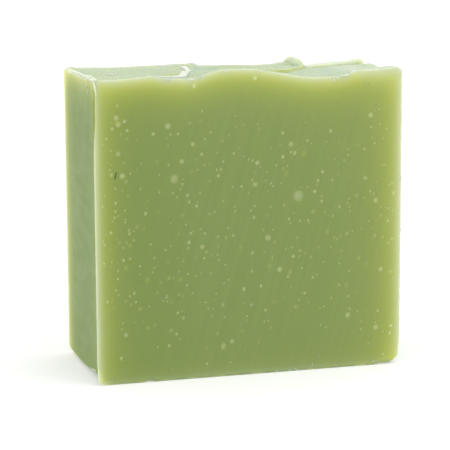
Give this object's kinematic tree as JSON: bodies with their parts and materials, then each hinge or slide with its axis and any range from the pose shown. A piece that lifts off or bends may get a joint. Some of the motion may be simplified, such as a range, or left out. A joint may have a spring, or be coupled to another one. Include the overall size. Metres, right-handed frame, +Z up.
{
  "type": "shaving soap bar",
  "caption": "Square hand-cut bar of shaving soap with flat cut faces, round mould edges at its foot and a poured, softly folded top; lathers under a wet brush.",
  "frame": {"origin": "centre of the bar's box at its foot, on the flat mould floor that it stands on", "axes": "+Z up, from the mould floor to the poured top; +X to the right, from one mould wall to the other; -Y out of the front cut face and +Y out of the back one"},
  "size_m": [0.07, 0.0318, 0.0684],
  "materials": {
    "soap": "satin"
  },
  "bodies": {
    "root": {"soap_bar": "soap"}
  },
  "joints": []
}
